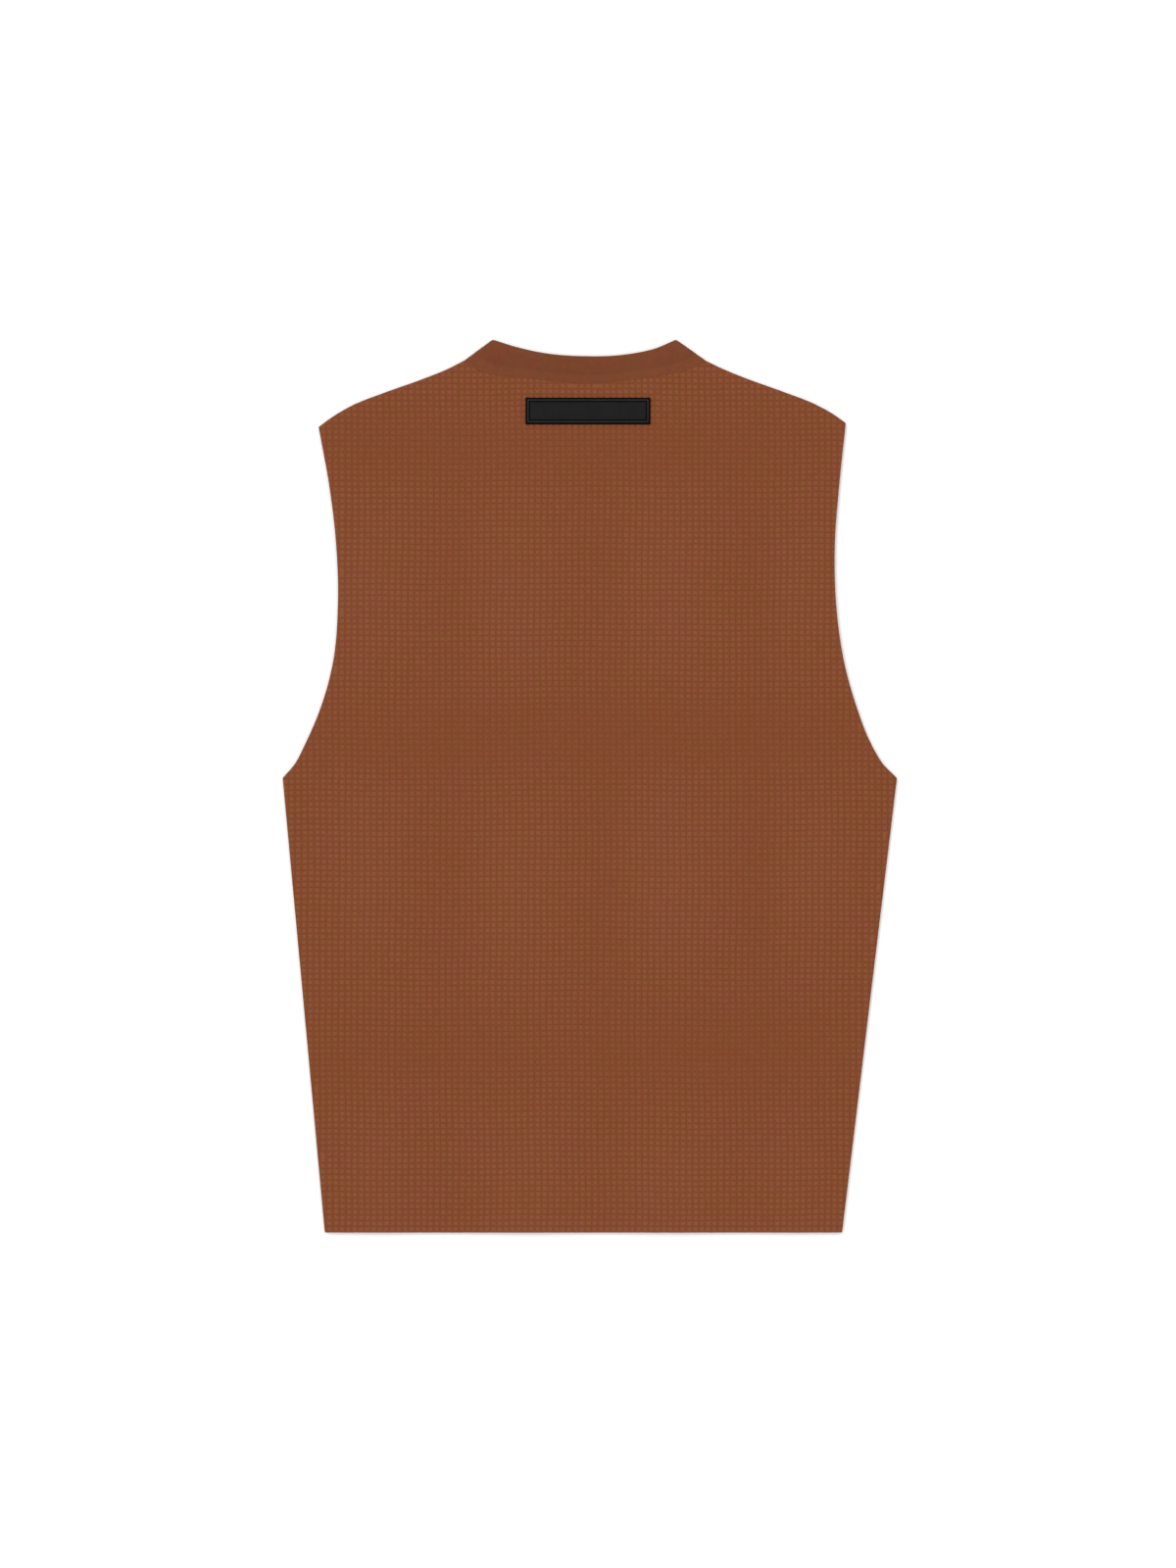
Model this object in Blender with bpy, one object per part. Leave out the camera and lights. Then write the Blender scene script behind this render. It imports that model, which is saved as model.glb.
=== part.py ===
"""Waffle knit tank top, laid flat with its back facing up, at real size.

X runs across the garment, Y runs up it towards the neck, and Z runs up from
the surface it lies on. The origin is the middle of its footprint. Sizes are in
millimetres here, and the meshes are scaled to metres as they are made.
"""

import math
from collections import namedtuple

import bmesh
import bpy
from mathutils import Vector

MILLIMETRE = 0.001

# Driving sizes
LENGTH = 729.1              # hem to neck points
UNDERARM_UP = 371.0         # hem to underarm
TIP_UP_LEFT = 657.8         # hem to the left shoulder tip
TIP_UP_RIGHT = 661.0        # hem to the right shoulder tip
WALL = 1.8                  # thickness of the waffle knit
SEAM_GAP = 0.3              # between pieces that are sewn together or lie on each other
OPEN_ROUND = 0.8            # rounding of a cut or turned edge
LABEL_WIDTH = 101.6
LABEL_HEIGHT = 21.9
LABEL_THICK = 1.2
LABEL_ACROSS = -1.5         # centre of the label, from the centre line
LABEL_UP = 670.6            # centre of the label, from the hem

# Mesh counts
SHOULDER_COLUMNS = 7
NECK_COLUMNS = 16
BODY_ROWS = 13
ARMHOLE_ROWS = 15
FOLD_STEPS = 6
FOLD_SEARCH = 2000              # steps along a curve, to find where a fold begins

MIDDLE = WALL + SEAM_GAP / 2    # height of the plane between the two layers
FOLD_REACH = MIDDLE             # outer radius of the neckband's folds
SLANT = 1.15                    # sections cross the neck seam a little aslant
BACK = 1
FRONT = -1

# Where the side edges lie, from the centre line. The hem is the first row of
# the body, and rise is the share of the way from underarm to shoulder tip.
HEM_LEFT = -216.4
HEM_RIGHT = 206.0
Scye = namedtuple("Scye", "rise left right")
ARMHOLE = (
    Scye(rise=0.00, left=-250.8, right=250.8),
    Scye(rise=0.04, left=-240.9, right=239.4),
    Scye(rise=0.10, left=-232.0, right=229.2),
    Scye(rise=0.20, left=-219.8, right=217.9),
    Scye(rise=0.32, left=-210.2, right=208.1),
    Scye(rise=0.50, left=-205.6, right=200.9),
    Scye(rise=0.66, left=-207.0, right=200.1),
    Scye(rise=0.82, left=-212.2, right=203.5),
    Scye(rise=1.00, left=-221.4, right=209.0),
)

# The shoulder seams, from the neck seam out to the shoulder tip. A drop is
# measured down from the neck points.
Slope = namedtuple("Slope", "out left_drop right_drop")
SHOULDER = (
    Slope(out=0.00, left_drop=17.5, right_drop=18.0),
    Slope(out=0.10, left_drop=23.6, right_drop=23.4),
    Slope(out=0.28, left_drop=32.2, right_drop=31.7),
    Slope(out=0.55, left_drop=43.6, right_drop=42.7),
    Slope(out=0.78, left_drop=54.5, right_drop=52.9),
    Slope(out=0.90, left_drop=62.8, right_drop=60.2),
    Slope(out=1.00, left_drop=LENGTH - TIP_UP_LEFT, right_drop=LENGTH - TIP_UP_RIGHT),
)

# Sections through the neckband, from the left fold round to the right fold:
# its free edge, and the seam that joins it to the panel.
NeckSection = namedtuple("NeckSection", "edge_across edge_drop seam_across seam_drop")
BACK_NECK = (
    NeckSection(edge_across=-79.4, edge_drop=0.0, seam_across=-103.3, seam_drop=17.5),
    NeckSection(edge_across=-61.0, edge_drop=5.8, seam_across=-91.0, seam_drop=25.1),
    NeckSection(edge_across=-38.0, edge_drop=10.9, seam_across=-56.0, seam_drop=31.0),
    NeckSection(edge_across=-4.4, edge_drop=13.6, seam_across=-2.0, seam_drop=35.7),
    NeckSection(edge_across=30.0, edge_drop=12.1, seam_across=48.0, seam_drop=31.0),
    NeckSection(edge_across=54.0, edge_drop=7.1, seam_across=80.0, seam_drop=24.6),
    NeckSection(edge_across=70.6, edge_drop=0.0, seam_across=96.2, seam_drop=18.0),
)
FRONT_NECK = (
    NeckSection(edge_across=-79.4, edge_drop=0.0, seam_across=-103.3, seam_drop=17.5),
    NeckSection(edge_across=-70.5, edge_drop=40.0, seam_across=-89.5, seam_drop=51.0),
    NeckSection(edge_across=-43.0, edge_drop=72.5, seam_across=-55.0, seam_drop=91.0),
    NeckSection(edge_across=-4.4, edge_drop=85.0, seam_across=-4.4, seam_drop=106.6),
    NeckSection(edge_across=34.2, edge_drop=72.5, seam_across=46.2, seam_drop=91.0),
    NeckSection(edge_across=61.7, edge_drop=40.0, seam_across=80.7, seam_drop=51.0),
    NeckSection(edge_across=70.6, edge_drop=0.0, seam_across=96.2, seam_drop=18.0),
)

# Places where the back rises softly off the front.
Swell = namedtuple("Swell", "across up half_across half_up rise")
SWELLS = (
    Swell(across=-61.0, up=518.0, half_across=46.0, half_up=88.0, rise=1.3),
    Swell(across=64.0, up=526.0, half_across=50.0, half_up=84.0, rise=1.5),
    Swell(across=-168.0, up=535.0, half_across=26.0, half_up=70.0, rise=0.7),
    Swell(across=166.0, up=520.0, half_across=24.0, half_up=78.0, rise=0.8),
    Swell(across=-176.0, up=302.0, half_across=36.0, half_up=80.0, rise=1.2),
    Swell(across=-52.0, up=270.0, half_across=44.0, half_up=92.0, rise=1.5),
    Swell(across=68.0, up=282.0, half_across=46.0, half_up=86.0, rise=1.7),
    Swell(across=182.0, up=284.0, half_across=36.0, half_up=74.0, rise=1.2),
    Swell(across=-158.0, up=52.0, half_across=34.0, half_up=50.0, rise=0.9),
    Swell(across=-44.0, up=40.0, half_across=48.0, half_up=58.0, rise=1.3),
    Swell(across=76.0, up=58.0, half_across=44.0, half_up=54.0, rise=1.1),
)

# Edge sections of a wall: how far a point lies in from the outline, and its
# depth out from the inner face. The first and last points are on the faces.
EdgePoint = namedtuple("EdgePoint", "inset depth")
SEAM_EDGE = (
    EdgePoint(inset=WALL, depth=WALL),
    EdgePoint(inset=0.50 * WALL, depth=0.87 * WALL),
    EdgePoint(inset=0.13 * WALL, depth=0.50 * WALL),
    EdgePoint(inset=0.0, depth=0.08 * WALL),
    EdgePoint(inset=0.30 * WALL, depth=0.0),
)
OPEN_EDGE = (
    EdgePoint(inset=OPEN_ROUND, depth=WALL),
    EdgePoint(inset=0.3 * OPEN_ROUND, depth=WALL - 0.3 * OPEN_ROUND),
    EdgePoint(inset=0.0, depth=0.5 * WALL),
    EdgePoint(inset=0.3 * OPEN_ROUND, depth=0.3 * OPEN_ROUND),
    EdgePoint(inset=OPEN_ROUND, depth=0.0),
)

# The neckband's section, as a closed loop of points: how far from its free
# edge, as a share of its width, and the depth out from its inner face. The
# dip at two thirds is the line of its inner fold.
BandPoint = namedtuple("BandPoint", "share depth")
BAND_LOOP = (
    BandPoint(share=0.000, depth=0.50 * WALL),
    BandPoint(share=0.012, depth=0.86 * WALL),
    BandPoint(share=0.045, depth=WALL),
    BandPoint(share=0.330, depth=WALL),
    BandPoint(share=0.640, depth=WALL),
    BandPoint(share=0.665, depth=0.84 * WALL),
    BandPoint(share=0.690, depth=0.96 * WALL),
    BandPoint(share=0.960, depth=0.96 * WALL),
    BandPoint(share=0.990, depth=0.84 * WALL),
    BandPoint(share=1.000, depth=0.50 * WALL),
    BandPoint(share=0.985, depth=0.10 * WALL),
    BandPoint(share=0.960, depth=0.0),
    BandPoint(share=0.650, depth=0.0),
    BandPoint(share=0.330, depth=0.0),
    BandPoint(share=0.045, depth=0.0),
    BandPoint(share=0.012, depth=0.14 * WALL),
)

# The label's section in from its rim: a rounded rim, then the stitch groove.
RimPoint = namedtuple("RimPoint", "inset height")
LABEL_RIM = (
    RimPoint(inset=0.0, height=0.70 * LABEL_THICK),
    RimPoint(inset=0.4, height=LABEL_THICK),
    RimPoint(inset=2.6, height=LABEL_THICK),
    RimPoint(inset=3.2, height=0.60 * LABEL_THICK),
    RimPoint(inset=3.8, height=0.92 * LABEL_THICK),
)
LABEL_COLUMNS = 8
LABEL_ROWS = 2


def smooth_curve(points):
    """Return the smooth curve through the points, as a function of 0 to 1."""
    spans = [(after - before).length for before, after in zip(points, points[1:])]
    slopes = [(points[i + 1] - points[i]) / span for i, span in enumerate(spans)]
    tangents = [slopes[0]]
    for i in range(1, len(spans)):
        both = spans[i - 1] + spans[i]
        tangents.append((slopes[i - 1] * spans[i] + slopes[i] * spans[i - 1]) / both)
    tangents.append(slopes[-1])
    whole = sum(spans)

    def at(share):
        travel = share * whole
        i = 0
        while i < len(spans) - 1 and travel > spans[i]:
            travel -= spans[i]
            i += 1
        s = travel / spans[i]
        value = points[i] * (2 * s ** 3 - 3 * s ** 2 + 1)
        value += tangents[i] * spans[i] * (s ** 3 - 2 * s ** 2 + s)
        value += points[i + 1] * (3 * s ** 2 - 2 * s ** 3)
        value += tangents[i + 1] * spans[i] * (s ** 3 - s ** 2)
        return value

    return at


def armhole_curve(side, tip_up):
    """The armhole from the underarm up to the shoulder tip, on one side."""
    rise = tip_up - UNDERARM_UP
    return smooth_curve([Vector((getattr(row, side), UNDERARM_UP + row.rise * rise)) for row in ARMHOLE])


def shoulder_curve(side, seam_across, tip_across):
    """The shoulder seam from the neck seam out to the shoulder tip."""
    reach = tip_across - seam_across
    return smooth_curve([
        Vector((seam_across + row.out * reach, LENGTH - getattr(row, side + "_drop")))
        for row in SHOULDER
    ])


def neck_edge_curve(neck):
    """The free edge of one half of the neckband, from left to right."""
    return smooth_curve([Vector((row.edge_across, LENGTH - row.edge_drop)) for row in neck])


def neck_seam_curve(neck):
    """The seam between one half of the neckband and its panel."""
    return smooth_curve([Vector((row.seam_across, LENGTH - row.seam_drop)) for row in neck])


def spread(curve, count):
    """Return count + 1 points along a curve."""
    return [curve(i / count) for i in range(count + 1)]


def panel_top(neck):
    """The panel's upper edge: left shoulder, neck seam, right shoulder."""
    left = spread(shoulder_curve("left", neck[0].seam_across, ARMHOLE[-1].left), SHOULDER_COLUMNS)
    right = spread(shoulder_curve("right", neck[-1].seam_across, ARMHOLE[-1].right), SHOULDER_COLUMNS)
    seam = spread(neck_seam_curve(neck), NECK_COLUMNS)
    return left[::-1] + seam[1:-1] + right


def panel_grid(neck):
    """Rows of points over a panel, from the hem up, each from left to right."""
    top = panel_top(neck)
    columns = len(top) - 1
    hem = [Vector((HEM_LEFT, 0)).lerp(Vector((HEM_RIGHT, 0)), i / columns) for i in range(columns + 1)]
    left_arm = Vector((ARMHOLE[0].left, UNDERARM_UP))
    right_arm = Vector((ARMHOLE[0].right, UNDERARM_UP))
    chest = [left_arm.lerp(right_arm, i / columns) for i in range(columns + 1)]
    rows = []
    for j in range(BODY_ROWS):
        rows.append([low.lerp(high, j / BODY_ROWS) for low, high in zip(hem, chest)])
    left = armhole_curve("left", TIP_UP_LEFT)
    right = armhole_curve("right", TIP_UP_RIGHT)
    for j in range(ARMHOLE_ROWS + 1):
        v = j / ARMHOLE_ROWS
        straight = [low.lerp(high, v) for low, high in zip(chest, top)]
        pull_left = left(v) - straight[0]
        pull_right = right(v) - straight[-1]
        rows.append([
            point + pull_left * (1 - i / columns) + pull_right * (i / columns)
            for i, point in enumerate(straight)
        ])
    return rows


def lift(point):
    """How far the back has risen off the front at a point."""
    total = 0.0
    for swell in SWELLS:
        x = (point.x - swell.across) / swell.half_across
        y = (point.y - swell.up) / swell.half_up
        total += swell.rise * math.exp(-x * x - y * y)
    return total


def place(point, layer, depth):
    """Put a point of the pattern in space, at a depth out from its layer's inner face."""
    height = MIDDLE + layer * (SEAM_GAP / 2 + depth)
    if layer == BACK:
        height += lift(point)
    return Vector((point.x, point.y - LENGTH / 2, height)) * MILLIMETRE


def rim_places(rows):
    """The grid places round the panel's rim, counter-clockwise from the left of the hem."""
    last_row = len(rows) - 1
    last_column = len(rows[0]) - 1
    rim = [(0, i) for i in range(last_column)]
    rim += [(j, last_column) for j in range(last_row)]
    rim += [(last_row, i) for i in range(last_column, 0, -1)]
    rim += [(j, 0) for j in range(last_row, 0, -1)]
    return rim


def inward(points, index):
    """The way in from the outline at a point, long enough to keep a corner's inset even."""
    before = (points[index] - points[index - 1]).normalized()
    after = (points[(index + 1) % len(points)] - points[index]).normalized()
    normal_before = Vector((-before.y, before.x))
    normal_after = Vector((-after.y, after.x))
    middle = (normal_before + normal_after).normalized()
    return middle / max(middle.dot(normal_before), 0.6)


def is_sewn(place_in_grid, last_row, last_column):
    """True on the side seams and on the shoulder seams."""
    row, column = place_in_grid
    if column in (0, last_column):
        return row <= BODY_ROWS or row == last_row
    on_neck = SHOULDER_COLUMNS < column < last_column - SHOULDER_COLUMNS
    return row == last_row and not on_neck


def make_object(name, mesh_builder, colour, roughness):
    """Close a bmesh into a named object with a material of its own."""
    bmesh.ops.recalc_face_normals(mesh_builder, faces=mesh_builder.faces)
    mesh = bpy.data.meshes.new(name)
    mesh_builder.to_mesh(mesh)
    mesh_builder.free()
    mesh.shade_smooth()
    mesh.set_sharp_from_angle(angle=math.radians(50))
    material = bpy.data.materials.new(name + "_material")
    material.use_nodes = True
    shader = material.node_tree.nodes["Principled BSDF"]
    shader.inputs["Base Color"].default_value = (*colour, 1.0)
    shader.inputs["Roughness"].default_value = roughness
    shader.inputs["Metallic"].default_value = 0.0
    mesh.materials.append(material)
    obj = bpy.data.objects.new(name, mesh)
    bpy.context.scene.collection.objects.link(obj)
    return obj


def bridge(mesh_builder, first, second):
    """Join two equal closed loops of vertices with a ring of quads."""
    count = len(first)
    for i in range(count):
        k = (i + 1) % count
        mesh_builder.faces.new((first[i], first[k], second[k], second[i]))


def make_panel(name, neck, layer, colour):
    """A panel: one wall of waffle knit, with its seam and open edges rounded."""
    rows = panel_grid(neck)
    last_row = len(rows) - 1
    last_column = len(rows[0]) - 1
    rim = rim_places(rows)
    outline = [rows[j][i] for j, i in rim]
    loops = [[] for _ in SEAM_EDGE]
    builder = bmesh.new()
    for index, spot in enumerate(rim):
        edge = SEAM_EDGE if is_sewn(spot, last_row, last_column) else OPEN_EDGE
        way_in = inward(outline, index)
        for loop, step in zip(loops, edge):
            loop.append(builder.verts.new(place(outline[index] + way_in * step.inset, layer, step.depth)))
    for outer_loop, inner_loop in zip(loops, loops[1:]):
        bridge(builder, outer_loop, inner_loop)
    for loop, depth in ((loops[0], WALL), (loops[-1], 0.0)):
        face = dict(zip(rim, loop))
        for j in range(1, last_row):
            for i in range(1, last_column):
                face[j, i] = builder.verts.new(place(rows[j][i], layer, depth))
        for j in range(last_row):
            for i in range(last_column):
                builder.faces.new((face[j, i], face[j, i + 1], face[j + 1, i + 1], face[j + 1, i]))
    return make_object(name, builder, colour, 0.92)


def beside_seam(edge, seam):
    """The band's own edge at its seam, which leaves the seam's gap to the panel."""
    return seam + (edge - seam).normalized() * SEAM_GAP * SLANT


def band_stations(neck):
    """Edge and seam points of one half of the neckband, just clear of the panel."""
    edges = spread(neck_edge_curve(neck), NECK_COLUMNS)
    seams = spread(neck_seam_curve(neck), NECK_COLUMNS)
    return [(edge, beside_seam(edge, seam)) for edge, seam in zip(edges, seams)]


def flat_section(station, layer):
    """The neckband's section where it lies in one layer."""
    edge, seam = station
    return [place(edge.lerp(seam, point.share), layer, point.depth) for point in BAND_LOOP]


def fold_section(fold, back, front, turn):
    """The neckband's section at a turn round its fold, 90 on the back and -90 on the front."""
    flat = back if turn > 0 else front
    inward_share = 1 - math.cos(math.radians(turn))
    section = []
    for point in BAND_LOOP:
        crease = fold[0].lerp(fold[1], point.share)
        beside = flat[0].lerp(flat[1], point.share)
        radius = SEAM_GAP / 2 + point.depth
        start = crease.lerp(beside, 1 - radius / FOLD_REACH)
        spot = start.lerp(beside, inward_share)
        height = MIDDLE + radius * math.sin(math.radians(turn))
        section.append(Vector((spot.x, spot.y - LENGTH / 2, height)) * MILLIMETRE)
    return section


def fold_station(crease, curves, end):
    """The last flat station before a fold: as far in from its crease as the fold is thick."""
    direction = (crease[1] - crease[0]).normalized()
    across = Vector((-direction.y, direction.x))
    found = []
    for curve, start in zip(curves, crease):
        step = 0
        point = start
        while abs((point - start).dot(across)) < FOLD_REACH:
            step += 1
            point = curve(abs(end - step / FOLD_SEARCH))
        found.append(point)
    edge, seam = found
    return edge, beside_seam(edge, seam)


def make_neckband(colour):
    """The neckband: one knitted ring, folded flat at both ends of the neck."""
    left_crease, right_crease = band_stations(BACK_NECK)[0], band_stations(BACK_NECK)[-1]
    halves = {}
    for layer, neck in ((BACK, BACK_NECK), (FRONT, FRONT_NECK)):
        curves = (neck_edge_curve(neck), neck_seam_curve(neck))
        left = fold_station(left_crease, curves, 0)
        right = fold_station(right_crease, curves, 1)
        halves[layer] = [left] + band_stations(neck)[1:-1] + [right]
    back, front = halves[BACK], halves[FRONT]
    turns = [90 - 180 * k / FOLD_STEPS for k in range(1, FOLD_STEPS)]
    sections = [flat_section(station, BACK) for station in back]
    sections += [fold_section(right_crease, back[-1], front[-1], turn) for turn in turns]
    sections += [flat_section(station, FRONT) for station in reversed(front)]
    sections += [fold_section(left_crease, back[0], front[0], -turn) for turn in turns]
    builder = bmesh.new()
    loops = [[builder.verts.new(point) for point in section] for section in sections]
    for index, loop in enumerate(loops):
        bridge(builder, loop, loops[(index + 1) % len(loops)])
    return make_object("neckband", builder, colour, 0.9)


def rim_lines(size, cells):
    """Lines across the label: the rim's own at both ends, and even ones between."""
    near = [point.inset for point in LABEL_RIM]
    start = near[-1]
    between = [start + (size - 2 * start) * k / cells for k in range(1, cells)]
    return near + between + [size - inset for inset in reversed(near)]


def label_height(inset):
    """The label's thickness at a distance in from its nearest side."""
    for point in reversed(LABEL_RIM):
        if inset > point.inset - 1e-6:
            return point.height
    return 0.0


def make_label(colour):
    """The blank label patch, laid on the back panel and following its surface."""
    across = rim_lines(LABEL_WIDTH, LABEL_COLUMNS)
    up = rim_lines(LABEL_HEIGHT, LABEL_ROWS)
    corner = Vector((LABEL_ACROSS - LABEL_WIDTH / 2, LABEL_UP - LABEL_HEIGHT / 2))
    builder = bmesh.new()
    sides = []
    for is_top in (True, False):
        grid = {}
        for j, y in enumerate(up):
            for i, x in enumerate(across):
                inset = min(x, y, LABEL_WIDTH - x, LABEL_HEIGHT - y)
                height = label_height(inset) if is_top else 0.0
                spot = corner + Vector((x, y))
                grid[j, i] = builder.verts.new(place(spot, BACK, WALL + SEAM_GAP + height))
        for j in range(len(up) - 1):
            for i in range(len(across) - 1):
                builder.faces.new((grid[j, i], grid[j, i + 1], grid[j + 1, i + 1], grid[j + 1, i]))
        sides.append(grid)
    rim = rim_places([across for _ in up])
    bridge(builder, [sides[0][spot] for spot in rim], [sides[1][spot] for spot in rim])
    return make_object("label_patch", builder, colour, 0.55)


def main():
    for old in list(bpy.data.objects):
        bpy.data.objects.remove(old, do_unlink=True)
    rust = (0.233, 0.072, 0.030)
    make_panel("back_panel", BACK_NECK, BACK, rust)
    make_panel("front_panel", FRONT_NECK, FRONT, rust)
    make_neckband((0.192, 0.060, 0.027))
    make_label((0.017, 0.017, 0.017))


main()
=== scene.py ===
"""Looks of the waffle knit tank top, laid flat with its back facing up.

Shapes are worked out in millimetres on the flat pattern: across from the centre
line, up from the hem, and height above the floor. Each mesh is turned into
metres, in the frame's own axes, as it is made.
"""

import math
from collections import namedtuple

import bmesh
import bpy
import numpy as np
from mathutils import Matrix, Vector, geometry


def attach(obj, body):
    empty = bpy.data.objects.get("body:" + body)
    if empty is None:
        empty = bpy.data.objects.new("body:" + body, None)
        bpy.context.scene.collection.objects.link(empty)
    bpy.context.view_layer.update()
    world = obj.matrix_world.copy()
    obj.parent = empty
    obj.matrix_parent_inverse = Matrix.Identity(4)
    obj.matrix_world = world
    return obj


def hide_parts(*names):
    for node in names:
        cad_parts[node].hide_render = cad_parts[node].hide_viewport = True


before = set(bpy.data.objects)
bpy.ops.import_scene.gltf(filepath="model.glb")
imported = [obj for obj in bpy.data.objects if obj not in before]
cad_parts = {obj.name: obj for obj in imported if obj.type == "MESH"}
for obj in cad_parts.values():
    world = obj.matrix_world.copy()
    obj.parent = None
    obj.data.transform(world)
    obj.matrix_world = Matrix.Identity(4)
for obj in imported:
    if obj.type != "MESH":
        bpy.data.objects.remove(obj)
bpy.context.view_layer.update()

MM = 0.001
RANDOM = np.random.default_rng(7)


def table(columns, *rows):
    """Rows of numbers with named columns."""
    row_type = namedtuple("Row", columns)
    return [row_type(*row) for row in rows]


# ---- sizes of the cut

LENGTH = 729.1
UNDERARM_UP = 371.0
TIP_UP_LEFT = 657.8
TIP_UP_RIGHT = 661.0
HEM_LEFT = -216.4
HEM_RIGHT = 206.0
WALL = 1.8
SEAM_GAP = 0.3
MIDDLE = WALL + SEAM_GAP / 2
BACK = 1
FRONT = -1

ARMHOLE = table(
    "rise left right",
    (0.00, -250.8, 250.8),
    (0.04, -240.9, 239.4),
    (0.10, -232.0, 229.2),
    (0.20, -219.8, 217.9),
    (0.32, -210.2, 208.1),
    (0.50, -205.6, 200.9),
    (0.66, -207.0, 200.1),
    (0.82, -212.2, 203.5),
    (1.00, -221.4, 209.0),
)

SHOULDER = table(
    "out left_drop right_drop",
    (0.00, 17.5, 18.0),
    (0.10, 23.6, 23.4),
    (0.28, 32.2, 31.7),
    (0.55, 43.6, 42.7),
    (0.78, 54.5, 52.9),
    (0.90, 62.8, 60.2),
    (1.00, LENGTH - TIP_UP_LEFT, LENGTH - TIP_UP_RIGHT),
)

BACK_NECK = table(
    "edge_across edge_drop seam_across seam_drop",
    (-79.4, 0.0, -103.3, 17.5),
    (-61.0, 5.8, -91.0, 25.1),
    (-38.0, 10.9, -56.0, 31.0),
    (-4.4, 13.6, -2.0, 35.7),
    (30.0, 12.1, 48.0, 31.0),
    (54.0, 7.1, 80.0, 24.6),
    (70.6, 0.0, 96.2, 18.0),
)
FRONT_NECK = table(
    "edge_across edge_drop seam_across seam_drop",
    (-79.4, 0.0, -103.3, 17.5),
    (-70.5, 40.0, -89.5, 51.0),
    (-43.0, 72.5, -55.0, 91.0),
    (-4.4, 85.0, -4.4, 106.6),
    (34.2, 72.5, 46.2, 91.0),
    (61.7, 40.0, 80.7, 51.0),
    (70.6, 0.0, 96.2, 18.0),
)

# ---- how the cloth lies

# Soft places where the back stands off the front, painted lighter by the material
SWELLS = table(
    "across up half_across half_up size",
    (-61.0, 518.0, 40.0, 82.0, 1.5),
    (62.0, 524.0, 42.0, 78.0, 1.5),
    (-172.0, 530.0, 32.0, 76.0, 1.3),
    (172.0, 522.0, 30.0, 78.0, 1.3),
    (-180.0, 292.0, 34.0, 74.0, 1.5),
    (-58.0, 274.0, 40.0, 84.0, 1.6),
    (64.0, 286.0, 42.0, 74.0, 1.7),
    (182.0, 284.0, 34.0, 70.0, 1.5),
    (-172.0, 40.0, 30.0, 62.0, 1.4),
    (-52.0, 36.0, 44.0, 64.0, 1.5),
    (66.0, 36.0, 42.0, 58.0, 1.5),
    (168.0, 34.0, 30.0, 54.0, 1.2),
)

# Soft troughs between them, where the cloth lies down and its waffle is pressed, painted darker by the
# material
BACK_TROUGHS = table(
    "across up half_across half_up size",
    (-150.0, 644.0, 80.0, 22.0, 0.7),
    (40.0, 640.0, 150.0, 24.0, 0.8),
    (-90.0, 404.0, 130.0, 27.0, 0.9),
    (110.0, 409.0, 130.0, 25.0, 0.9),
    (112.0, 149.0, 96.0, 33.0, 1.0),
    (-112.0, 146.0, 90.0, 24.0, 0.6),
    (-214.0, 133.0, 34.0, 22.0, 0.4),
    (-116.0, 300.0, 19.0, 150.0, 0.35),
    (-112.0, 545.0, 18.0, 80.0, 0.35),
    (12.0, 290.0, 20.0, 220.0, 0.40),
    (4.0, 570.0, 18.0, 60.0, 0.25),
    (136.0, 290.0, 18.0, 170.0, 0.45),
    (130.0, 560.0, 17.0, 80.0, 0.35),
)
FRONT_TROUGHS = table(
    "across up half_across half_up size",
    (30.0, 402.0, 170.0, 15.0, 0.8),
    (-150.0, 418.0, 80.0, 12.0, 0.6),
    (-90.0, 160.0, 110.0, 17.0, 0.9),
    (130.0, 110.0, 60.0, 14.0, 0.7),
    (-6.0, 300.0, 13.0, 220.0, 0.6),
    (-128.0, 330.0, 12.0, 150.0, 0.6),
    (122.0, 290.0, 11.0, 170.0, 0.6),
)
USUAL_SWELL = 1.5  # cloth this far up stands off fully
TROUGH_FLATTENS = 0.7  # share of a swell that a full trough takes away
TROUGH_THINS = 0.30  # how much thinner the wall is in a full trough

# Spots on the neckband beside its folds: how deep the small dimples are, and how
# much painted light the knit round them gets, or painted shade in them
BAND_DIMPLES = table(
    "across up radius strength",
    (-72.0, 711.5, 13.0, 0.35),
    (65.0, 713.0, 12.0, 0.30),
)
BAND_PAINTED_LIGHT_AND_SHADE = table(
    "across up radius strength",
    (-80.0, 712.0, 26.0, 0.06),
    (66.0, 712.0, 48.0, 0.075),
    (-72.0, 711.5, 10.0, -0.06),
    (65.0, 713.0, 9.0, -0.05),
)

# ---- the waffle

CELL_ACROSS = 5.15
CELL_UP = 4.68
SLOPE_ACROSS = 1.75  # width of a puff's sloping side
SLOPE_UP = 1.60
FIRST_GROOVE_ACROSS = 1.2
FIRST_GROOVE_UP = 0.6
PUFF_RISE = 0.60
BACK_PROUD = 0.10  # how far a usual puff's top stands outside the wall
FRONT_PROUD = -0.15  # the front's tops stay above the floor
TALLEST_PUFF = 1.25
PRESSED_RELIEF = 0.45  # share of a puff's rise that a full trough takes away
CLEAR_OF_EDGE = 0.7  # a cell is whole if its corners are this far in
CORNER_CLEAR = 0.15  # a corner nearer to the edge than this is left out
STITCHES_PER_CELL = 4
OUTLINE_STEP = 1.2
OUTLINE_BLENDS = 6  # rounds in which the kinds of edge blend into each other
SAME_PLACE = 1e-6  # points nearer to each other than this are one
NO_AREA = 1e-6  # a sliver of less than this lies on a straight edge
INNER_STEP = 10.0
INNER_PAINTED_LIGHT = 0.6  # the plain inner face gets the painted shade and light of a point this far up a puff
END_CLEAR = 0.2  # steps of the outline kept clear round a groove's end
SHARPEST = 0.6  # limits how far an outline's corner reaches in
BLOCK = 4000  # points that are measured at once

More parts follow.
